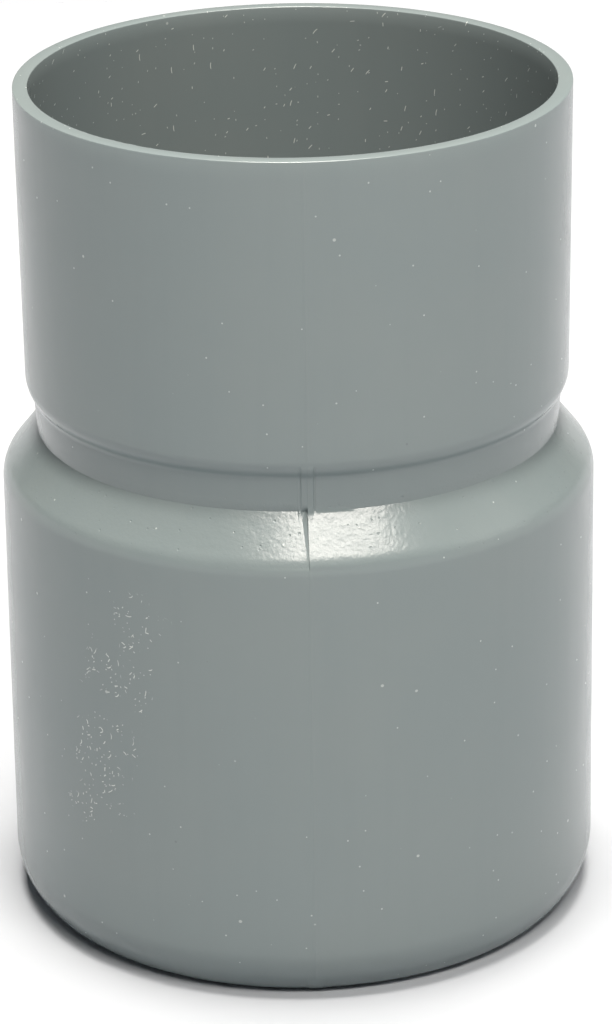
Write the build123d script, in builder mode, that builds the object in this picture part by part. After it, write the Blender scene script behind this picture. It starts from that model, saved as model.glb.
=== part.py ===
"""Push-fit coupling for 75 mm drain pipe, in millimetres.

The origin is the centre of the face that the coupling stands on, the mouth of its wide push-fit
socket. +Z runs up the common axis, to the rim of the narrow plain socket.
"""

from build123d import *
import os
from math import cos, radians, sin, tan

os.makedirs("parts", exist_ok=True)

# Pipe and running clearances
pipe_radius = 37.5
socket_clearance = 0.15
bore_radius = pipe_radius + socket_clearance
lip_clearance = 0.02

# Coupling body, outside
overall_height = 124.7
rim_outer_radius = 39.8
upper_foot_radius = 39.65
upper_foot_z = 81.75
foot_blend_radius = 4.1
foot_blend_turn = 35.0
neck_blend_radius = 2.0
neck_blend_turn = 32.0
crease_radius = 38.2
shoulder_rise = 39.3
shoulder_blend_radius = 4.3
shoulder_blend_z = 65.85
lower_top_radius = 43.43
lower_foot_radius = 43.7

# Coupling body, inside
upper_socket_depth = pipe_radius + 6.0  # the usual depth: half the pipe's diameter, plus 6
neck_bore_radius = 36.2
cavity_radius = 41.3
mouth_radius = 38.0

# Rolled mouth lip: a large arc, then a tight one, both about centres shared with the inside
lip_upper_arc = 10.0
lip_lower_arc = 3.0
lip_split = 40.0
lip_wall = lower_foot_radius - cavity_radius

# Guide ribs inside the wide socket
rib_count = 12
rib_thickness = 1.8
rib_inner_radius = 37.9
rib_stop_radius = 36.6
rib_stop_z = 69.5
rib_lead_in = 1.5
rib_root = 0.8

# Sealing ring and the ring that backs it
ring_gap = 0.1
ring_outer_radius = cavity_radius - ring_gap
seal_top_z = 16.0
support_height = 7.0
support_sleeve = 1.3
support_flange = 1.4
support_top_z = seal_top_z + support_height
rib_foot_z = support_top_z + ring_gap

# Centres of the lip's two arcs, and of the shoulder's blend
lip_upper_z = lip_lower_arc + (lip_upper_arc - lip_lower_arc) * sin(radians(lip_split))
lip_upper_centre = (lower_foot_radius - lip_upper_arc, lip_upper_z)
lip_lower_centre = (
    lip_upper_centre[0] + (lip_upper_arc - lip_lower_arc) * cos(radians(lip_split)),
    lip_lower_arc,
)
blend_centre = (lower_top_radius - shoulder_blend_radius, shoulder_blend_z)
inner_blend_radius = cavity_radius - blend_centre[0]


def on_shoulder(radius, blend_radius):
    """A point of the cone that leaves the shoulder's blend of blend_radius, at the given radius."""
    start_r = blend_centre[0] + blend_radius * cos(radians(shoulder_rise))
    start_z = blend_centre[1] + blend_radius * sin(radians(shoulder_rise))
    return (radius, start_z + (start_r - radius) / tan(radians(shoulder_rise)))


def lip_arcs(inset):
    """The two arcs of the rolled lip, inset from the outside, from the wall down to the lip's face."""
    CenterArc(lip_upper_centre, lip_upper_arc - inset, 0, -lip_split)
    CenterArc(lip_lower_centre, lip_lower_arc - inset, -lip_split, lip_split - 90)


# Coupling body: plain socket, neck, conical shoulder, push-fit socket with its mouth rolled in
socket_stop_z = overall_height - upper_socket_depth
crease = on_shoulder(crease_radius, shoulder_blend_radius)
throat = on_shoulder(neck_bore_radius, inner_blend_radius)

with BuildPart() as rib:
    with BuildSketch(Plane.XZ):
        with BuildLine():
            Polyline(
                (rib_inner_radius + rib_lead_in / 2, rib_foot_z),
                (cavity_radius + rib_root, rib_foot_z),
                (cavity_radius + rib_root, shoulder_blend_z),
                (rib_stop_radius, throat[1] + rib_root),
                (rib_stop_radius, rib_stop_z),
                (rib_inner_radius, rib_stop_z),
                (rib_inner_radius, rib_foot_z + rib_lead_in),
                close=True,
            )
        make_face()
    extrude(amount=rib_thickness / 2, both=True)

with BuildPart() as coupling_body:
    with BuildSketch(Plane.XZ):
        with BuildLine():
            rim = Line((bore_radius, overall_height), (rim_outer_radius, overall_height))
            upper_wall = Line(rim @ 1, (upper_foot_radius, upper_foot_z))
            foot = JernArc(upper_wall @ 1, (0, -1), foot_blend_radius, -foot_blend_turn)
            hollow = JernArc(foot @ 1, foot % 1, neck_blend_radius, neck_blend_turn)
            Line(hollow @ 1, crease)
            blend = CenterArc(blend_centre, shoulder_blend_radius, shoulder_rise, -shoulder_rise)
            Line(crease, blend @ 0)
            Line(blend @ 1, (lower_foot_radius, lip_upper_z))
            lip_arcs(0)
            Line((lip_lower_centre[0], 0), (mouth_radius, 0))
            Line((mouth_radius, 0), (mouth_radius, lip_wall))
            Line((mouth_radius, lip_wall), (lip_lower_centre[0], lip_wall))
            lip_arcs(lip_wall)
            Line((cavity_radius, lip_upper_z), (cavity_radius, shoulder_blend_z))
            inner_blend = CenterArc(blend_centre, inner_blend_radius, 0, shoulder_rise)
            Line(inner_blend @ 1, throat)
            Line(throat, (neck_bore_radius, socket_stop_z))
            Line((neck_bore_radius, socket_stop_z), (bore_radius, socket_stop_z))
            Line((bore_radius, socket_stop_z), (bore_radius, overall_height))
        make_face()
    revolve(axis=Axis.Z)
    with PolarLocations(0, rib_count):
        add(rib.part)

# Sealing ring: a heel that sits on the rolled lip, a main lip and a wiper lip, both drawn pressed
# back to the pipe. Each lip runs from its root to a land that lies along the pipe.
lip_land_radius = pipe_radius + lip_clearance
main_land_z = (12.6, 14.2)
main_back_radius = 38.5
wiper_land_z = (8.0, 9.0)
wiper_back_radius = 37.9
lip_back_rise = 0.2
lip_root = (38.8, 9.4)
pocket_radius = 39.9
pocket_z = 10.4
heel_radius = 38.3
heel_z = 5.4
seat_z = lip_wall + ring_gap
seal_edge_radius = 0.2

with BuildPart() as sealing_ring:
    with BuildSketch(Plane.XZ) as seal_section:
        with BuildLine():
            Line((heel_radius, seat_z), (lip_lower_centre[0], seat_z))
            lip_arcs(seat_z)
            Polyline(
                (ring_outer_radius, lip_upper_z),
                (ring_outer_radius, seal_top_z),
                (pocket_radius, seal_top_z),
                (pocket_radius, pocket_z),
                (main_back_radius, main_land_z[1] + lip_back_rise),
                (lip_land_radius, main_land_z[1]),
                (lip_land_radius, main_land_z[0]),
                lip_root,
                (wiper_back_radius, wiper_land_z[1] + lip_back_rise),
                (lip_land_radius, wiper_land_z[1]),
                (lip_land_radius, wiper_land_z[0]),
                (heel_radius, heel_z),
                (heel_radius, seat_z),
            )
        make_face()
        corners = seal_section.vertices()
        top_edges = corners.filter_by_position(Axis.Y, seal_top_z - 0.1, seal_top_z + 0.1)
        lip_roots = corners.filter_by_position(Axis.Y, lip_root[1] - 0.1, pocket_z + 0.1)
        fillet(top_edges + lip_roots, seal_edge_radius)
    revolve(axis=Axis.Z)

# Support ring: a channel section, open outwards, whose sleeve guides the pipe
with BuildPart() as seal_support_ring:
    with BuildSketch(Plane.XZ):
        with Locations((bore_radius, seal_top_z)):
            Rectangle(support_sleeve, support_height, align=(Align.MIN, Align.MIN))
        flange_width = ring_outer_radius - bore_radius
        for flange_z in (seal_top_z, support_top_z - support_flange):
            with Locations((bore_radius, flange_z)):
                Rectangle(flange_width, support_flange, align=(Align.MIN, Align.MIN))
    revolve(axis=Axis.Z)

coupling_body.part.label = "coupling_body"
sealing_ring.part.label = "sealing_ring"
seal_support_ring.part.label = "seal_support_ring"

export_step(coupling_body.part, "parts/coupling_body.step")
export_step(sealing_ring.part, "parts/sealing_ring.step")
export_step(seal_support_ring.part, "parts/seal_support_ring.step")
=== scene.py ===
"""Looks of the push-fit pipe coupling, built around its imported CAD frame.

Lengths of the coupling, and the camera's place, are in millimetres. The lamps and floor are in metres.
"""

import math

import bpy
from mathutils import Matrix, Vector, noise


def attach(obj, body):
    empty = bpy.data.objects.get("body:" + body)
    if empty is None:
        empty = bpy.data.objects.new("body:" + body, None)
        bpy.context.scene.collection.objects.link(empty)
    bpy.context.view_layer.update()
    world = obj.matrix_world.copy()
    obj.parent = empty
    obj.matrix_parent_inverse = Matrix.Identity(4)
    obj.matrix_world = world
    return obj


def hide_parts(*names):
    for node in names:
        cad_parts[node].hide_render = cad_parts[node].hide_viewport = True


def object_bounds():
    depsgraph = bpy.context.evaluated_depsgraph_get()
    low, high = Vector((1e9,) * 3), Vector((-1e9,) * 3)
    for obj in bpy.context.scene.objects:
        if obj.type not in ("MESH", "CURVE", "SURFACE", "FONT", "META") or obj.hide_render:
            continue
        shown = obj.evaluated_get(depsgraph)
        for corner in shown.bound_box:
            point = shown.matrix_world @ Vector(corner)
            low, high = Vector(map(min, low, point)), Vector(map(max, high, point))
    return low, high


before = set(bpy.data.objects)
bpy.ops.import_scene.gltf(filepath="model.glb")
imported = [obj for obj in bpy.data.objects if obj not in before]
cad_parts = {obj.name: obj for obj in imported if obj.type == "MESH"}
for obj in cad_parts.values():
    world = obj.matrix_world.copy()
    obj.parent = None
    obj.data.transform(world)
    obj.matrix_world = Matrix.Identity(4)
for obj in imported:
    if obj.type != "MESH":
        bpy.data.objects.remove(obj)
cad_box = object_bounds()

MM = 0.001

# ---------------------------------------------------------------- sizes, in mm and degrees

overall_height = cad_box[1].z / MM
bore_radius = 37.65
rim_outer_radius = 39.8
upper_foot = (39.65, 81.75)
foot_blend_radius = 4.1
foot_blend_turn = 35.0
neck_blend_radius = 2.0
neck_blend_turn = 32.0
crease_radius = 38.2
shoulder_rise = 39.3
shoulder_blend_radius = 4.3
shoulder_blend_z = 65.85
lower_top_radius = 43.43
lower_foot_radius = 43.7
socket_stop_z = overall_height - 43.5
neck_bore_radius = 36.2
cavity_radius = 41.3
mouth_radius = 38.0
lip_upper_arc = 10.0
lip_lower_arc = 3.0
lip_split = 40.0
lip_wall = lower_foot_radius - cavity_radius
edge_round = 0.15

rib_count = 12
rib_half_angle = 1.30
rib_draft_angle = 0.07
rib_inner_radius = 37.9
rib_stop_radius = 36.6
rib_stop_z = 69.5
rib_foot_z = 23.1
rib_lead_in = 1.5

# relief that the mould left, and the burr, which lies between two angles round from the front
parting_step = 0.10
parting_step_reach = 9.0
flash_height = 0.15
flash_margin_depth = 0.05
torn_height = 0.14
ridge_height = 0.035
ridge_width = 0.22
gate_mark_height = 0.10
wave_height = 0.05
burr_height = 0.22
burr_from, burr_to = -54.0, -32.0

# how far the mould's relief stops short of the rim and the foot
plain_at_rim = 0.2
plain_at_foot = 0.3

lip_upper_z = lip_lower_arc + (lip_upper_arc - lip_lower_arc) * math.sin(math.radians(lip_split))
lip_upper_centre = (lower_foot_radius - lip_upper_arc, lip_upper_z)
lip_lower_centre = (
    lip_upper_centre[0] + (lip_upper_arc - lip_lower_arc) * math.cos(math.radians(lip_split)),
    lip_lower_arc,
)
blend_centre = (lower_top_radius - shoulder_blend_radius, shoulder_blend_z)
inner_blend_radius = cavity_radius - blend_centre[0]


# ---------------------------------------------------------------- profiles

def polar(centre, radius, degrees):
    """The point at radius from centre, in the direction given in degrees."""
    angle = math.radians(degrees)
    return (centre[0] + radius * math.cos(angle), centre[1] + radius * math.sin(angle))


def arc(centre, radius, start, end, step):
    """Points along an arc, from start to end degrees, about step degrees apart."""
    count = max(2, math.ceil(abs(end - start) / step))
    return [polar(centre, radius, start + (end - start) * i / count) for i in range(count + 1)]


def run(a, b, step):
    """Points along a straight run, about step mm apart."""
    count = max(1, math.ceil(math.dist(a, b) / step))
    dr, dz = b[0] - a[0], b[1] - a[1]
    return [(a[0] + dr * i / count, a[1] + dz * i / count) for i in range(count + 1)]


def turn(start, heading, radius, degrees, step):
    """An arc that leaves start along heading, in degrees, and turns by degrees, left if positive."""
    side = math.copysign(90, degrees)
    centre = polar(start, radius, heading + side)
    first = heading - side
    return arc(centre, radius, first, first + degrees, step)


def chain(*stretches):
    """One list of points from several, without the points that two stretches share."""
    points = []
    for stretch in stretches:
        for point in stretch:
            if not points or math.dist(points[-1], point) > 0.004:
                points.append(point)
    return points


def on_shoulder(radius, blend_radius):
    """The point at radius of the cone that leaves the shoulder's blend of blend_radius."""
    start = polar(blend_centre, blend_radius, shoulder_rise)
    return (radius, start[1] + (start[0] - radius) / math.tan(math.radians(shoulder_rise)))


def outer_profile():
    """The coupling's outside, from its rim down to the face that it stands on."""
    rim_corner = (rim_outer_radius - edge_round, overall_height - edge_round)
    foot = turn(upper_foot, -90, foot_blend_radius, -foot_blend_turn, 3.0)
    hollow = turn(foot[-1], -90 - foot_blend_turn, neck_blend_radius, neck_blend_turn, 4.0)
    return chain(
        arc(rim_corner, edge_round, 90, 0, 30),
        run((rim_outer_radius, rim_corner[1]), upper_foot, 2.5),
        foot,
        hollow,
        run(hollow[-1], crease, 0.6),
        run(crease, polar(blend_centre, shoulder_blend_radius, shoulder_rise), 0.4),
        arc(blend_centre, shoulder_blend_radius, shoulder_rise, 0, 3.0),
        run((lower_top_radius, shoulder_blend_z), (lower_foot_radius, lip_upper_z), 2.2),
        arc(lip_upper_centre, lip_upper_arc, 0, -lip_split, 3.0),
        arc(lip_lower_centre, lip_lower_arc, -lip_split, -90, 6.0),
        run((lip_lower_centre[0], 0), (mouth_radius, 0), 0.6),
    )


def inner_profile():
    """The coupling's inside, from its mouth up through both sockets to the rim.

    A hair's breadth parts the rows where the ribs and their stops begin and end.
    """
    cone_foot = polar(blend_centre, inner_blend_radius, shoulder_rise)
    share = (rib_stop_z - cone_foot[1]) / (throat[1] - cone_foot[1])
    stop_radius = cone_foot[0] + (throat[0] - cone_foot[0]) * share
    hair = 0.02
    rim_corner = (bore_radius + edge_round, overall_height - edge_round)
    return chain(
        run((mouth_radius, 0), (mouth_radius, lip_wall), 0.8),
        run((mouth_radius, lip_wall), (lip_lower_centre[0], lip_wall), 0.6),
        arc(lip_lower_centre, lip_lower_arc - lip_wall, -90, -lip_split, 12.0),
        arc(lip_upper_centre, lip_upper_arc - lip_wall, -lip_split, 0, 5.0),
        run((cavity_radius, lip_upper_z), (cavity_radius, rib_foot_z - hair), 5.0),
        run((cavity_radius, rib_foot_z + hair), (cavity_radius, rib_foot_z + rib_lead_in), 0.8),
        run((cavity_radius, rib_foot_z + rib_lead_in), (cavity_radius, shoulder_blend_z), 5.0),
        arc(blend_centre, inner_blend_radius, 0, shoulder_rise, 8.0),
        run(cone_foot, (stop_radius, rib_stop_z - hair), 0.8),
        run((stop_radius, rib_stop_z + hair), throat, 0.8),
        run(throat, (neck_bore_radius, socket_stop_z), 1.5),
        run((neck_bore_radius, socket_stop_z), (bore_radius, socket_stop_z), 0.5),
        run((bore_radius, socket_stop_z), (bore_radius, rim_corner[1]), 2.5),
        arc(rim_corner, edge_round, 180, 90, 30),
    )


throat = on_shoulder(neck_bore_radius, inner_blend_radius)
crease = on_shoulder(crease_radius, shoulder_blend_radius)


# ---------------------------------------------------------------- relief left by the mould

def smooth(low, high, value):
    """0 below low, 1 above high, and a smooth step between them."""
    t = min(1.0, max(0.0, (value - low) / (high - low)))
    return t * t * (3 - 2 * t)


def window(low, high, soft, value):
    """1 between low and high, falling to 0 over soft on either side."""
    return smooth(low - soft, low, value) * (1 - smooth(high, high + soft, value))


def parting_groove(across, z):
    """The groove where the mould's halves meet on the shoulder. It tapers to a point at the foot.

    Its left side is a slope, and its right side a sharp step.
    """
    rise = smooth(shoulder_blend_z + 1.2, crease[1], z)
    width = 0.30 + 0.50 * rise
    if not -width < across < 0:
        return 0.0
    return -(0.10 + 0.22 * rise) * (1 + across / width)


def parting_relief(across, z):
    """How far the outside stands proud at a parting line, across mm to its right, at height z.

    The two halves of the mould meet with a small step at the neck and shoulder, where flash was
    trimmed off, and with hardly any on the two straight walls.
    """
    neck = window(crease[1] + 0.1, upper_foot[1] - 1.2, 0.4, z)
    shoulder = window(shoulder_blend_z + 1.6, crease[1] + 0.1, 0.5, z)
    walls = 1 - max(neck, shoulder)
    side = math.copysign(1, across)
    half_step = parting_step * side * math.exp(-abs(across) / parting_step_reach)
    margin = flash_margin_depth * window(-1.15, 1.0, 0.15, across)
    flash = flash_height * window(-0.85, 0.75, 0.12, across) - margin
    torn = torn_height * noise.noise(Vector((across * 3.1, z * 2.3, 0)))
    torn *= window(-1.3, 0.5, 0.3, across)
    near_crease = window(crease[1] - 0.5, crease[1] + 0.2, 0.4, z)
    ridge = ridge_height * math.exp(-(across / ridge_width) ** 2)
    height = neck * (0.2 * half_step + flash)
    height += shoulder * (half_step + parting_groove(across, z))
    height += near_crease * torn
    height += walls * ridge
    return height


def gate_mark(across, z):
    """The small trimmed gate mark on the rolled lip, below the parting line."""
    return gate_mark_height * window(-1.0, 1.2, 0.25, across) * window(0.4, 2.0, 0.5, z)


def wall_wave(angle, z):
    """The slow unevenness of a moulded wall, a few hundredths of a millimetre."""
    place = Vector((math.cos(angle) * 1.6, math.sin(angle) * 1.6, z * 0.02))
    return wave_height * noise.noise(place)


def outer_relief(angle, radius, z):
    """Everything that the mould left on the outside, as a height above the plain profile."""
    height = wall_wave(angle, z)
    for line, gate in ((-90.0, 1.0), (90.0, 0.0)):
        turned = math.remainder(math.degrees(angle) - line, 360)
        if abs(turned) < 60:
            across = math.radians(turned) * radius
            height += parting_relief(across, z) + gate * gate_mark(across, z)
    return height


def rib_radius(angle, radius, z):
    """The inside's radius where a guide rib stands, or the plain wall's radius between ribs."""
    pitch = 360 / rib_count
    off = abs(math.remainder(math.degrees(angle), pitch))
    if off > rib_half_angle + rib_draft_angle / 2 or not rib_foot_z < z < throat[1]:
        return radius
    if z > rib_stop_z:
        return min(radius, rib_stop_radius)
    lead = max(0.0, 1 - (z - rib_foot_z) / rib_lead_in)
    return min(radius, rib_inner_radius + lead * rib_lead_in / 2)


def rim_burr(angle, z):
    """The burr that the deburring tool left on the rim's inner edge, at the front left."""
    turned = math.remainder(math.degrees(angle) + 90, 360)
    at_edge = smooth(overall_height - 0.5, overall_height - 0.1, z)
    here = window(burr_from, burr_to, 4.0, turned) * at_edge
    return burr_height * here * max(0.0, noise.noise(Vector((turned * 0.9, 0.5, 0.5))))


def column_angles():
    """Angles of the mesh's columns, in degrees: even, with more at the ribs, parting lines and burr."""
    fine_step, middle_step, even_step = 0.115, 0.5, 2.5
    angles = []
    for k in range(rib_count):
        centre = k * 360 / rib_count
        for offset in (rib_half_angle, rib_half_angle + rib_draft_angle):
            angles += [centre - offset, centre + offset]
    for line in (90.0, 270.0):
        for i in range(-22, 23):
            angles.append(line + fine_step * i)
        for i in range(1, 8):
            angles += [line - even_step - middle_step * i, line + even_step + middle_step * i]
    burr_count = round((burr_to - burr_from) / middle_step)
    angles += [burr_from - 90 + middle_step * i for i in range(burr_count)]
    angles += [even_step * i for i in range(round(360 / even_step))]
    kept = []
    for angle in angles:
        angle %= 360
        if all(abs(math.remainder(angle - other, 360)) > 0.05 for other in kept):
            kept.append(angle)
    return sorted(kept)


# ---------------------------------------------------------------- meshes

def lathe(name, points, angles, shape):
    """A closed ring turned from a closed profile. shape(angle, index, r, z) moves each point."""
    rows = len(points)
    columns = len(angles)
    verts = []
    for degrees in angles:
        angle = math.radians(degrees)
        for index, (r, z) in enumerate(points):
            r, z = shape(angle, index, r, z)
            verts.append((r * math.cos(angle) * MM, r * math.sin(angle) * MM, z * MM))
    faces = []
    for c in range(columns):
        after = (c + 1) % columns
        for i in range(rows):
            j = (i + 1) % rows
            faces.append((c * rows + i, c * rows + j, after * rows + j, after * rows + i))
    mesh = bpy.data.meshes.new(name)
    mesh.from_pydata(verts, [], faces)
    mesh.validate()
    mesh.polygons.foreach_set("use_smooth", [True] * len(mesh.polygons))
    mesh.set_sharp_from_angle(angle=math.radians(38))
    obj = bpy.data.objects.new(name, mesh)
    bpy.context.scene.collection.objects.link(obj)
    return obj


def profile_normals(points):
    """Outward normals of a profile's points, as (r, z) pairs."""
    normals = []
    for i in range(len(points)):
        before = points[max(0, i - 1)]
        after = points[min(len(points) - 1, i + 1)]
        dr, dz = after[0] - before[0], after[1] - before[1]
        length = math.hypot(dr, dz) or 1.0
        normals.append((-dz / length, dr / length))
    return normals


def make_body():
    """The one-piece moulding, with its relief outside and its guide ribs inside."""
    outside = outer_profile()
    inside = inner_profile()
    normals = profile_normals(outside)
    outside_count = len(outside)

    def shape(angle, index, r, z):
        if index >= outside_count:
            return rib_radius(angle, r, z) - rim_burr(angle, z), z
        if z > overall_height - plain_at_rim or z < plain_at_foot:
            return r, z
        height = outer_relief(angle, r, z)
        return r + normals[index][0] * height, z + normals[index][1] * height

    return lathe("coupling_shell", outside + inside[1:], column_angles(), shape)


# ---------------------------------------------------------------- node helpers

def new_material(name):
    """A material, and the shader that it shows."""
    material = bpy.data.materials.new(name)
    material.use_nodes = True
    nodes = material.node_tree.nodes
    nodes.clear()
    output = nodes.new("ShaderNodeOutputMaterial")
    shader = nodes.new("ShaderNodeBsdfPrincipled")
    material.node_tree.links.new(shader.outputs[0], output.inputs[0])
    return material, shader


def feed(tree, socket, value):
    """Link value into socket if it is a socket, or set it there if it is a number or a colour."""
    if isinstance(value, bpy.types.NodeSocket):
        tree.links.new(value, socket)
    else:
        socket.default_value = value


def add_node(tree, kind, *values, **settings):
    """A new node. settings are its own properties, and values go to its inputs, in their order."""
    node = tree.nodes.new("ShaderNode" + kind)
    for key, value in settings.items():
        setattr(node, key, value)
    for socket, value in zip(node.inputs, values):
        feed(tree, socket, value)
    return node


def calc(tree, operation, *values):
    return add_node(tree, "Math", *values, operation=operation).outputs[0]


def product(tree, *values):
    """All the values, multiplied."""
    result = values[0]
    for value in values[1:]:
        result = calc(tree, "MULTIPLY", result, value)
    return result


def ramp(tree, value, low, high, to_low=0.0, to_high=1.0):
    """A smooth step of value from low to high."""
    node = add_node(tree, "MapRange", value, low, high, to_low, to_high, interpolation_type="SMOOTHSTEP")
    return node.outputs[0]


def band(tree, value, low, high, soft):
    """1 where value is between low and high, and 0 from soft beyond them."""
    return product(tree, ramp(tree, value, low - soft, low), ramp(tree, value, high + soft, high))


def blend(tree, factor, a, b):
    """Mixes two colours."""
    node = add_node(tree, "Mix", factor, data_type="RGBA")
    feed(tree, node.inputs[6], a)
    feed(tree, node.inputs[7], b)
    return node.outputs[2]


def split(tree, vector):
    return add_node(tree, "SeparateXYZ", vector).outputs


def place_mm(tree, stretch=(1.0, 1.0, 1.0)):
    """The point being shaded, in the row frame, in mm, stretched by the given factors."""
    coords = tree.nodes.new("ShaderNodeTexCoord")
    mapping = tree.nodes.new("ShaderNodeMapping")
    mapping.inputs["Scale"].default_value = [s / MM for s in stretch]
    tree.links.new(coords.outputs["Object"], mapping.inputs["Vector"])
    return mapping.outputs[0]


def clouds(tree, place, scale, detail, roughness=0.5):
    """Smooth noise from 0 to 1, with about scale lumps to the mm."""
    node = add_node(tree, "TexNoise", place)
    node.inputs["Scale"].default_value = scale
    node.inputs["Detail"].default_value = detail
    node.inputs["Roughness"].default_value = roughness
    return node.outputs[0]


def specks(tree, place, scale, size, share):
    """Round specks in a share of the cells, scale cells to the mm and at most size mm in radius."""
    cell = add_node(tree, "TexVoronoi", place)
    cell.inputs["Scale"].default_value = scale
    chance = split(tree, cell.outputs["Color"])[0]
    spot = ramp(tree, cell.outputs["Distance"], size * scale, size * scale * 0.5)
    return product(tree, spot, ramp(tree, chance, 1 - share, 1.01 - share))


def strokes(tree, wall, scale, length, width, share, lean, spread, bend=0.0):
    """Short strokes in a share of the cells of wall, scale cells to the mm.

    A stroke is up to length mm long and width mm wide. It leans by lean degrees from level, give
    or take half of spread. bend is the most that it curves, in mm per mm squared.
    """
    cell = add_node(tree, "TexVoronoi", wall, voronoi_dimensions="2D")
    cell.inputs["Scale"].default_value = scale
    chance, other, third = split(tree, cell.outputs["Color"])
    offset = add_node(tree, "VectorMath", wall, cell.outputs["Position"], operation="SUBTRACT")
    start = math.radians(lean - spread / 2)
    angle = calc(tree, "MULTIPLY_ADD", other, math.radians(spread), start)
    turned = add_node(tree, "VectorRotate", offset.outputs[0], (0, 0, 0), (0, 0, 1), angle,
                      rotation_type="Z_AXIS")
    along, across, _ = split(tree, turned.outputs[0])
    sag = product(tree, along, along, calc(tree, "MULTIPLY_ADD", third, 2 * bend, -bend))
    off_line = calc(tree, "ABSOLUTE", calc(tree, "ADD", across, sag))
    reach = calc(tree, "MULTIPLY_ADD", third, 0.7, 0.3)
    far = calc(tree, "DIVIDE", calc(tree, "ABSOLUTE", along), reach)
    line = ramp(tree, off_line, width / 2, width / 6)
    line = product(tree, line, ramp(tree, far, length / 2, length / 4))
    return product(tree, line, ramp(tree, chance, 1 - share, 1.01 - share))


def bump(tree, height, distance, normal=None):
    """distance is the height, in mm, of a change of 1 in height."""
    node = tree.nodes.new("ShaderNodeBump")
    node.inputs["Distance"].default_value = distance * MM
    tree.links.new(height, node.inputs["Height"])
    if normal:
        tree.links.new(normal, node.inputs["Normal"])
    return node.outputs[0]


# ---------------------------------------------------------------- materials

def wall_map(tree, x, y, z):
    """The walls laid flat, in mm: round from the front to the right, and up.

    The radius is taken off the height, so that the map also runs along the rim and the shoulder.
    Gives the map, the angle round from the front in radians, and the radius.
    """
    radius = calc(tree, "SQRT", calc(tree, "ADD", product(tree, x, x), product(tree, y, y)))
    around = calc(tree, "ARCTAN2", x, calc(tree, "MULTIPLY", y, -1.0))
    level = product(tree, around, rim_outer_radius)
    wall = add_node(tree, "CombineXYZ", level, calc(tree, "SUBTRACT", z, radius))
    return wall.outputs[0], around, radius


def scuffed_patch(tree, place, wall, around, z):
    """Light scuffs on the wide socket's wall, in a patch that leans, left of the front."""
    centre = calc(tree, "MULTIPLY_ADD", z, 0.0058, -0.945)
    sideways = calc(tree, "ABSOLUTE", calc(tree, "SUBTRACT", around, centre))
    patch = product(tree, ramp(tree, sideways, 0.20, 0.04), band(tree, z, 26.0, 57.0, 6.0))
    gaps = clouds(tree, place, scale=0.30, detail=2.0)
    patch = product(tree, patch, ramp(tree, gaps, 0.42, 0.60))
    curls = strokes(tree, wall, scale=0.75, length=1.0, width=0.19, share=0.45,
                    lean=90, spread=180, bend=1.1)
    scores = strokes(tree, wall, scale=0.50, length=1.5, width=0.18, share=0.40,
                     lean=120, spread=100, bend=0.5)
    nicks = strokes(tree, wall, scale=1.30, length=0.4, width=0.22, share=0.40, lean=90, spread=180)
    marks = calc(tree, "MAXIMUM", curls, product(tree, scores, 0.8))
    marks = calc(tree, "MAXIMUM", marks, product(tree, nicks, 0.6))
    return product(tree, marks, ramp(tree, patch, 0.05, 0.55))


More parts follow.
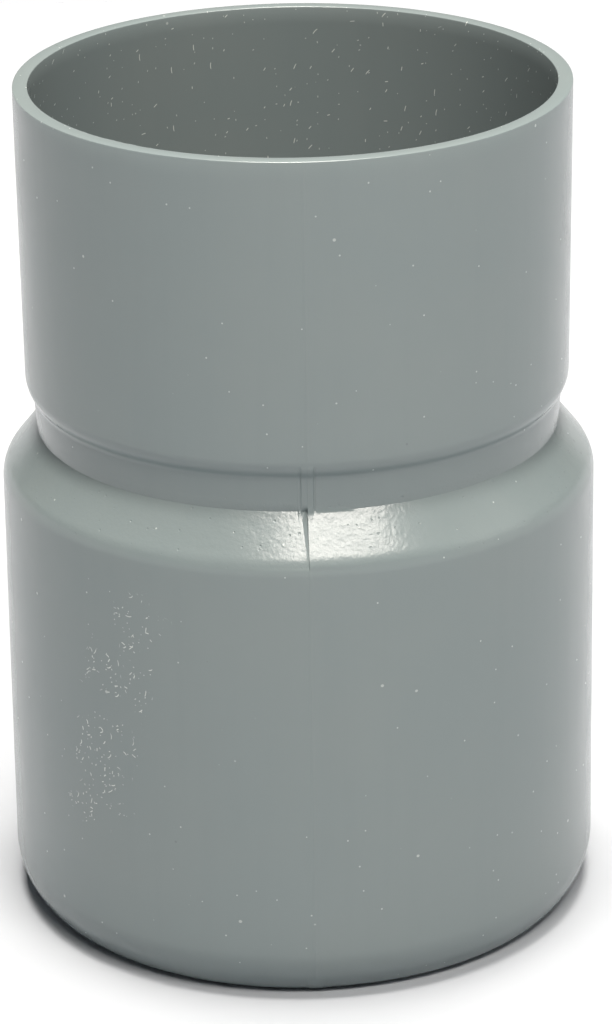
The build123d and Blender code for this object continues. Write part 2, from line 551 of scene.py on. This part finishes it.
def make_pvc():
    """Satin grey PVC-U: even pigment, a rougher shoulder, dust, and one patch of light scuffs."""
    material, shader = new_material("grey_pvc")
    tree = material.node_tree
    place = place_mm(tree)
    x, y, z = split(tree, place)
    wall, around, radius = wall_map(tree, x, y, z)
    inside = ramp(tree, radius, 38.1, 38.0)

    tone = clouds(tree, place, scale=0.035, detail=3.0, roughness=0.55)
    colour = blend(tree, tone, (0.150, 0.185, 0.191, 1), (0.171, 0.198, 0.197, 1))
    streaks = clouds(tree, place_mm(tree, (1, 1, 0.05)), scale=0.35, detail=2.0)
    streaks = ramp(tree, streaks, 0.45, 0.75, to_low=0, to_high=0.08)
    colour = blend(tree, streaks, colour, (0.132, 0.160, 0.168, 1))

    fine_dust = specks(tree, place, scale=0.40, size=0.17, share=0.55)
    coarse_dust = specks(tree, wall, scale=0.21, size=0.30, share=0.20)
    dust = calc(tree, "MAXIMUM", fine_dust, coarse_dust)
    hairs = strokes(tree, wall, scale=0.33, length=1.3, width=0.17, share=0.36,
                    lean=50, spread=90, bend=0.3)
    bits = strokes(tree, wall, scale=0.60, length=0.4, width=0.20, share=0.22, lean=50, spread=120)
    hairs = calc(tree, "MAXIMUM", hairs, product(tree, bits, 0.6))
    hairs = product(tree, hairs, inside)
    scuffs = scuffed_patch(tree, place, wall, around, z)
    light_marks = calc(tree, "MAXIMUM", product(tree, dust, 0.45), hairs)
    light_marks = calc(tree, "MAXIMUM", light_marks, scuffs)
    colour = blend(tree, product(tree, light_marks, 0.60), colour, (0.74, 0.76, 0.72, 1))

    # knocks on the narrow socket's right, close to the rim
    knocked = product(tree, band(tree, around, 1.22, 1.42, 0.05), band(tree, z, 100.0, 113.0, 3.0))
    knocks = strokes(tree, wall, scale=0.50, length=2.6, width=0.35, share=0.7,
                     lean=90, spread=40, bend=0.1)
    knocks = product(tree, knocks, knocked)
    grime = specks(tree, place, scale=0.21, size=0.24, share=0.30)
    grime = calc(tree, "MAXIMUM", product(tree, grime, 0.5), knocks)
    colour = blend(tree, product(tree, grime, 0.6), colour, (0.07, 0.08, 0.08, 1))
    feed(tree, shader.inputs["Base Color"], colour)

    sheen = clouds(tree, place, scale=0.12, detail=3.0)
    roughness = ramp(tree, sheen, 0.3, 0.7, to_low=0.20, to_high=0.25)
    feed(tree, shader.inputs["Roughness"], calc(tree, "MULTIPLY_ADD", light_marks, 0.25, roughness))

    # the mould's polish is coarser on the shoulder than on the two walls
    on_shoulder_only = band(tree, z, 68.0, 74.5, 1.5)
    fine_peel = clouds(tree, place, scale=2.1, detail=2.0, roughness=0.55)
    coarse_peel = clouds(tree, place, scale=0.8, detail=1.0)
    peel = calc(tree, "ADD", fine_peel, coarse_peel)
    peel = product(tree, peel, ramp(tree, on_shoulder_only, 0, 1, to_low=0.06, to_high=1.0))
    pits = product(tree, specks(tree, place, scale=0.9, size=0.20, share=0.35), on_shoulder_only)
    grain = clouds(tree, place, scale=5.5, detail=2.0)
    surface = bump(tree, peel, 0.030)
    surface = bump(tree, pits, -0.05, surface)
    surface = bump(tree, grain, 0.0022, surface)
    surface = bump(tree, light_marks, 0.01, surface)
    feed(tree, shader.inputs["Normal"], surface)
    shader.inputs["IOR"].default_value = 1.50
    return material


def make_rubber():
    """Matt black moulded rubber with a bloom of talc."""
    material, shader = new_material("black_rubber")
    tree = material.node_tree
    place = place_mm(tree)
    tone = clouds(tree, place, scale=0.25, detail=3.0)
    colour = blend(tree, tone, (0.012, 0.012, 0.013, 1), (0.030, 0.030, 0.031, 1))
    talc = specks(tree, place, scale=0.9, size=0.15, share=0.2)
    colour = blend(tree, product(tree, talc, 0.4), colour, (0.35, 0.35, 0.34, 1))
    feed(tree, shader.inputs["Base Color"], colour)
    roughness = ramp(tree, tone, 0.3, 0.7, to_low=0.52, to_high=0.68)
    feed(tree, shader.inputs["Roughness"], roughness)
    grain = clouds(tree, place, scale=4.0, detail=3.0)
    feed(tree, shader.inputs["Normal"], bump(tree, grain, 0.01))
    return material


def make_support_polymer():
    """Milky natural polypropylene."""
    material, shader = new_material("support_polymer")
    tree = material.node_tree
    place = place_mm(tree)
    tone = clouds(tree, place, scale=0.12, detail=3.0)
    colour = blend(tree, tone, (0.60, 0.59, 0.54, 1), (0.70, 0.69, 0.64, 1))
    feed(tree, shader.inputs["Base Color"], colour)
    roughness = ramp(tree, tone, 0.3, 0.7, to_low=0.34, to_high=0.44)
    feed(tree, shader.inputs["Roughness"], roughness)
    grain = clouds(tree, place, scale=2.0, detail=2.0)
    feed(tree, shader.inputs["Normal"], bump(tree, grain, 0.006))
    return material


def make_floor_white():
    """Plain matt white, a shade cool to offset the warm lamps."""
    material, shader = new_material("studio_white")
    shader.inputs["Base Color"].default_value = (0.600, 0.630, 0.675, 1)
    shader.inputs["Roughness"].default_value = 0.9
    shader.inputs["Specular IOR Level"].default_value = 0.0
    return material


# ---------------------------------------------------------------- studio

def make_camera():
    """The camera stands 0.56 m in front of the axis, above the rim, and looks down at 22 degrees."""
    distance, height = 562.74, 289.9
    azimuth, pitch, roll, yaw = -1.75, 22.40, 0.865, 0.10
    across = math.radians(azimuth)
    place = Vector((distance * math.sin(across), -distance * math.cos(across), height)) * MM
    facing = across - math.radians(yaw)
    down = math.radians(pitch)
    reach = math.cos(down)
    forward = Vector((-math.sin(facing) * reach, math.cos(facing) * reach, -math.sin(down)))
    level = Vector((math.cos(facing), math.sin(facing), 0))
    upright = level.cross(forward)
    lean = math.radians(roll)
    right = level * math.cos(lean) - upright * math.sin(lean)
    up = level * math.sin(lean) + upright * math.cos(lean)
    camera = bpy.data.objects.new("camera", bpy.data.cameras.new("camera"))
    camera.data.lens = 144.43
    camera.data.sensor_width = 36.0
    camera.data.clip_start = 0.01
    axes = Matrix((right, up, -forward)).transposed().to_4x4()
    camera.matrix_world = Matrix.Translation(place) @ axes
    bpy.context.scene.collection.objects.link(camera)
    bpy.context.scene.camera = camera


def make_softbox(name, azimuth, elevation, distance, size, power, colour=(1.0, 1.0, 1.0), spared=None):
    """An area light that looks at the coupling's middle. Azimuth 0 is the front, +90 the right.

    distance and size are in metres. It lights everything but the object that is spared, if one is.
    """
    a, e = math.radians(azimuth), math.radians(elevation)
    target = Vector((0, 0, 0.07))
    offset = Vector((math.sin(a) * math.cos(e), -math.cos(a) * math.cos(e), math.sin(e)))
    light = bpy.data.lights.new(name, "AREA")
    light.shape = "RECTANGLE"
    light.size, light.size_y = size
    light.energy = power
    light.color = colour
    lamp = bpy.data.objects.new(name, light)
    if spared:
        lamp.light_linking.receiver_collection = bpy.data.collections.new(name + "_receivers")
        receivers = lamp.light_linking.receiver_collection
        receivers.objects.link(spared)
        receivers.collection_objects[0].light_linking.link_state = "EXCLUDE"
    lamp.location = target + offset * distance
    lamp.rotation_euler = offset.to_track_quat("Z", "Y").to_euler()
    bpy.context.scene.collection.objects.link(lamp)


def make_studio():
    """A white floor and horizon under a dim sky, and four soft lamps. Lengths here are in metres."""
    scene = bpy.context.scene
    world = bpy.data.worlds.new("studio")
    world.use_nodes = True
    tree = world.node_tree
    direction = tree.nodes.new("ShaderNodeTexCoord").outputs["Generated"]
    height = split(tree, direction)[2]
    background = tree.nodes["Background"]
    strength = ramp(tree, height, 0.0, 0.10, to_low=1.0, to_high=0.07)
    feed(tree, background.inputs["Strength"], strength)
    background.inputs["Color"].default_value = (1.0, 1.0, 1.0, 1)
    scene.world = world
    scene.view_settings.view_transform = "Standard"

    mesh = bpy.data.meshes.new("floor")
    reach = 0.5
    corners = [(-reach, -reach, 0), (reach, -reach, 0), (reach, reach, 0), (-reach, reach, 0)]
    mesh.from_pydata(corners, [], [(0, 1, 2, 3)])
    floor = bpy.data.objects.new("floor", mesh)
    floor.data.materials.append(make_floor_white())
    scene.collection.objects.link(floor)

    warm = (1.0, 0.945, 0.875)
    make_softbox("overhead", azimuth=180, elevation=87, distance=2.2, size=(0.9, 0.9), power=85,
                 colour=warm)
    make_softbox("overhead_front", azimuth=0, elevation=72, distance=1.6, size=(0.6, 0.6), power=28.5,
                 colour=warm, spared=floor)
    make_softbox("key_strip", azimuth=19, elevation=54.5, distance=1.0, size=(0.58, 0.15), power=6.0,
                 colour=warm)
    make_softbox("right_fill", azimuth=80, elevation=20, distance=1.3, size=(0.7, 0.7), power=1.2)


# ---------------------------------------------------------------- assembly

def dress(piece, material, slot, *nodes):
    """Give a piece its material, attach it under the root, and hide the CAD nodes that it replaces."""
    piece.data.materials.append(material)
    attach(piece, "root")
    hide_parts(*nodes)


make_studio()
make_camera()

pvc = make_pvc()
dress(make_body(), pvc, "grey_pvc", "coupling_body")

for node, material in (("sealing_ring", make_rubber()), ("seal_support_ring", make_support_polymer())):
    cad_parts[node].data.materials.clear()
    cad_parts[node].data.materials.append(material)
